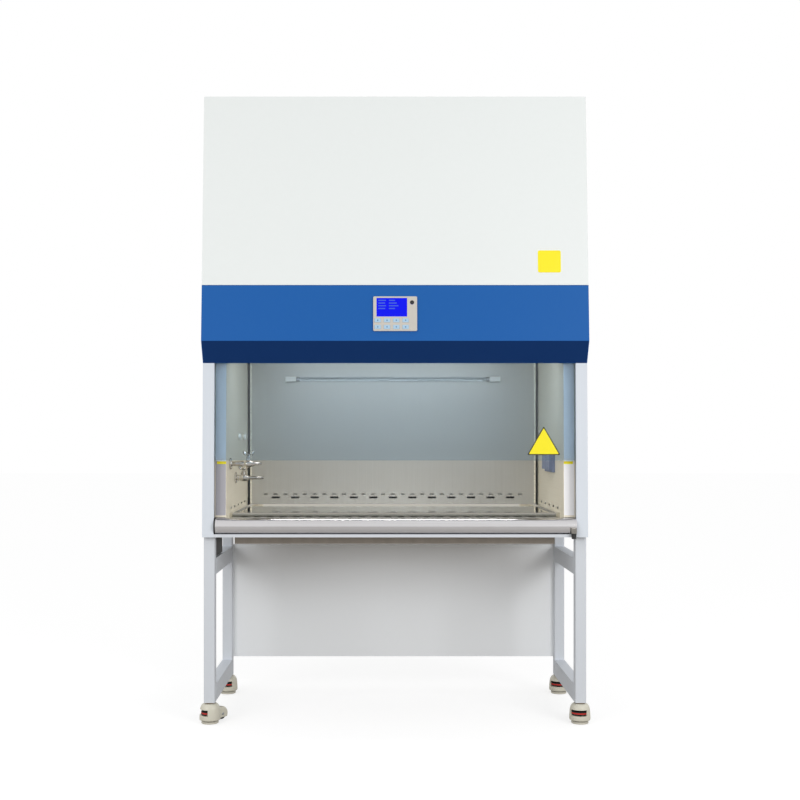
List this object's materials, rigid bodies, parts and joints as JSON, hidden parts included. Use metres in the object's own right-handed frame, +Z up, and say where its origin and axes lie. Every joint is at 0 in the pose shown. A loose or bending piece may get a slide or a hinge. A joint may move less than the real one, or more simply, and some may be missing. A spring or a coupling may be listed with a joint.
{
  "type": "biosafety cabinet",
  "caption": "Free-standing class II safety cabinet with a sliding glass sash, steel work chamber, control panel, taps and sockets, on a stand with levelling casters.",
  "frame": {"origin": "on the floor, under the middle of the overall box", "axes": "+Z up, +Y from the user to the back, +X to the user's right"},
  "size_m": [1.412, 0.8038, 2.299],
  "materials": {
    "painted_white": "satin",
    "painted_blue": "satin",
    "painted_grey": "satin",
    "stainless_brushed": "satin",
    "stainless_polished": "polished",
    "chrome": "polished",
    "clear_glass": "gloss",
    "tube_glass": "gloss",
    "white_plastic": "satin",
    "beige_plastic": "satin",
    "display_blue": "gloss",
    "key_blue": "satin",
    "ivory_plastic": "satin",
    "nylon": "satin",
    "black_rubber": "matte",
    "black_plastic": "matte",
    "socket_plastic": "satin",
    "filter_media": "matte",
    "galvanised_steel": "satin",
    "aluminium": "satin"
  },
  "bodies": {
    "cabinet": {"side_panel_left": "painted_white", "side_panel_right": "painted_white", "top_panel": "painted_white", "back_panel": "painted_white", "hood_front_panel": "painted_white", "exhaust_guard": "painted_white", "control_fascia": "painted_blue", "stand_side_frame_left": "painted_grey", "stand_side_frame_right": "painted_grey", "stand_rear_panel": "painted_grey", "base_pan": "painted_grey", "inner_wall_left": "stainless_brushed", "inner_wall_right": "stainless_brushed", "inner_rear_wall": "stainless_brushed", "work_tray": "stainless_brushed", "intake_grille": "stainless_brushed", "armrest": "stainless_polished", "gas_tap_body": "chrome", "water_tap_body": "chrome", "uv_lamp_tube": "tube_glass", "led_lamp": "white_plastic", "uv_lamp_holders": "white_plastic", "control_bezel": "beige_plastic", "display_window": "display_blue", "service_box": "black_plastic", "drain_valve_body": "black_plastic", "socket_box": "socket_plastic", "supply_filter": "filter_media", "exhaust_filter": "filter_media", "blower_shelf": "galvanised_steel", "blower_housing": "galvanised_steel", "sash_guides": "aluminium"},
    "sash": {"sash_glass": "clear_glass"},
    "sash_shaft": {"sash_drive_shaft": "galvanised_steel"},
    "impeller": {"blower_impeller": "galvanised_steel"},
    "drain_knob": {"drain_valve_knob": "chrome"},
    "gas_handle": {"gas_tap_handle": "chrome"},
    "water_handle": {"water_tap_handle": "chrome"},
    "front_socket_cover": {"socket_cover_front": "socket_plastic"},
    "rear_socket_cover": {"socket_cover_rear": "socket_plastic"},
    "key_1": {"key_1": "key_blue"},
    "key_2": {"key_2": "key_blue"},
    "key_3": {"key_3": "key_blue"},
    "key_4": {"key_4": "key_blue"},
    "key_5": {"key_5": "key_blue"},
    "key_6": {"key_6": "key_blue"},
    "key_7": {"key_7": "key_blue"},
    "key_8": {"key_8": "key_blue"},
    "caster_front_left": {"caster_body_front_left": "ivory_plastic"},
    "wheel_front_left": {"caster_wheel_front_left": "nylon"},
    "foot_front_left": {"leveling_foot_front_left": "black_rubber"},
    "caster_front_right": {"caster_body_front_right": "ivory_plastic"},
    "wheel_front_right": {"caster_wheel_front_right": "nylon"},
    "foot_front_right": {"leveling_foot_front_right": "black_rubber"},
    "caster_rear_left": {"caster_body_rear_left": "ivory_plastic"},
    "wheel_rear_left": {"caster_wheel_rear_left": "nylon"},
    "foot_rear_left": {"leveling_foot_rear_left": "black_rubber"},
    "caster_rear_right": {"caster_body_rear_right": "ivory_plastic"},
    "wheel_rear_right": {"caster_wheel_rear_right": "nylon"},
    "foot_rear_right": {"leveling_foot_rear_right": "black_rubber"}
  },
  "joints": [
    {"name": "sash_slide", "type": "slide", "parent": "cabinet", "child": "sash", "axis": [0, 0.0314, 0.9995], "range_m": [-0.205, 0.25]},
    {"name": "sash_shaft_turn", "type": "hinge", "parent": "cabinet", "child": "sash_shaft", "pos_m": [0, -0.26007, 2.168], "axis": [1, 0, 0], "range_deg": [-479, 393]},
    {"name": "blower_spin", "type": "hinge", "parent": "cabinet", "child": "impeller", "pos_m": [0, 0.09193, 1.76], "axis": [1, 0, 0], "continuous": true},
    {"name": "drain_knob_turn", "type": "hinge", "parent": "cabinet", "child": "drain_knob", "pos_m": [0.637, -0.38577, 0.6874], "axis": [0, 0, 1], "range_deg": [0, 90]},
    {"name": "gas_handle_turn", "type": "hinge", "parent": "cabinet", "child": "gas_handle", "pos_m": [-0.541, -0.22507, 0.933], "axis": [0, 0, 1], "range_deg": [0, 90]},
    {"name": "water_handle_turn", "type": "hinge", "parent": "cabinet", "child": "water_handle", "pos_m": [-0.578, -0.07507, 0.876], "axis": [0, 0, 1], "range_deg": [0, 360]},
    {"name": "front_cover_lift", "type": "hinge", "parent": "cabinet", "child": "front_socket_cover", "pos_m": [0.594, -0.07557, 0.992], "axis": [0, 1, 0], "range_deg": [0, 110]},
    {"name": "rear_cover_lift", "type": "hinge", "parent": "cabinet", "child": "rear_socket_cover", "pos_m": [0.594, 0.02043, 0.992], "axis": [0, 1, 0], "range_deg": [0, 110]},
    {"name": "key_1_press", "type": "slide", "parent": "cabinet", "child": "key_1", "axis": [0, 0.9967, -0.0807], "range_m": [0, 0.001], "stiffness_N_per_m": 600},
    {"name": "key_2_press", "type": "slide", "parent": "cabinet", "child": "key_2", "axis": [0, 0.9967, -0.0807], "range_m": [0, 0.001], "stiffness_N_per_m": 600},
    {"name": "key_3_press", "type": "slide", "parent": "cabinet", "child": "key_3", "axis": [0, 0.9967, -0.0807], "range_m": [0, 0.001], "stiffness_N_per_m": 600},
    {"name": "key_4_press", "type": "slide", "parent": "cabinet", "child": "key_4", "axis": [0, 0.9967, -0.0807], "range_m": [0, 0.001], "stiffness_N_per_m": 600},
    {"name": "key_5_press", "type": "slide", "parent": "cabinet", "child": "key_5", "axis": [0, 0.9967, -0.0807], "range_m": [0, 0.001], "stiffness_N_per_m": 600},
    {"name": "key_6_press", "type": "slide", "parent": "cabinet", "child": "key_6", "axis": [0, 0.9967, -0.0807], "range_m": [0, 0.001], "stiffness_N_per_m": 600},
    {"name": "key_7_press", "type": "slide", "parent": "cabinet", "child": "key_7", "axis": [0, 0.9967, -0.0807], "range_m": [0, 0.001], "stiffness_N_per_m": 600},
    {"name": "key_8_press", "type": "slide", "parent": "cabinet", "child": "key_8", "axis": [0, 0.9967, -0.0807], "range_m": [0, 0.001], "stiffness_N_per_m": 600},
    {"name": "swivel_front_left", "type": "hinge", "parent": "cabinet", "child": "caster_front_left", "pos_m": [-0.668, -0.33007, 0.075], "axis": [0, 0, 1], "continuous": true},
    {"name": "wheel_spin_front_left", "type": "hinge", "parent": "caster_front_left", "child": "wheel_front_left", "pos_m": [-0.63458, -0.29023, 0.024], "axis": [0.766, -0.6428, 0], "continuous": true},
    {"name": "foot_raise_front_left", "type": "slide", "parent": "caster_front_left", "child": "foot_front_left", "axis": [0, 0, 1], "range_m": [0, 0.008]},
    {"name": "swivel_front_right", "type": "hinge", "parent": "cabinet", "child": "caster_front_right", "pos_m": [0.668, -0.33007, 0.075], "axis": [0, 0, 1], "continuous": true},
    {"name": "wheel_spin_front_right", "type": "hinge", "parent": "caster_front_right", "child": "wheel_front_right", "pos_m": [0.668, -0.27807, 0.024], "axis": [1, 0, 0], "continuous": true},
    {"name": "foot_raise_front_right", "type": "slide", "parent": "caster_front_right", "child": "foot_front_right", "axis": [0, 0, 1], "range_m": [0, 0.008]},
    {"name": "swivel_rear_left", "type": "hinge", "parent": "cabinet", "child": "caster_rear_left", "pos_m": [-0.668, 0.14993, 0.075], "axis": [0, 0, 1], "continuous": true},
    {"name": "wheel_spin_rear_left", "type": "hinge", "parent": "caster_rear_left", "child": "wheel_rear_left", "pos_m": [-0.668, 0.20193, 0.024], "axis": [1, 0, 0], "continuous": true},
    {"name": "foot_raise_rear_left", "type": "slide", "parent": "caster_rear_left", "child": "foot_rear_left", "axis": [0, 0, 1], "range_m": [0, 0.008]},
    {"name": "swivel_rear_right", "type": "hinge", "parent": "cabinet", "child": "caster_rear_right", "pos_m": [0.668, 0.14993, 0.075], "axis": [0, 0, 1], "continuous": true},
    {"name": "wheel_spin_rear_right", "type": "hinge", "parent": "caster_rear_right", "child": "wheel_rear_right", "pos_m": [0.668, 0.20193, 0.024], "axis": [1, 0, 0], "continuous": true},
    {"name": "foot_raise_rear_right", "type": "slide", "parent": "caster_rear_right", "child": "foot_rear_right", "axis": [0, 0, 1], "range_m": [0, 0.008]}
  ],
  "couplings": [
    {"joint": "sash_shaft_turn", "follows": "sash_slide", "rad_per_m": -33.333}
  ]
}
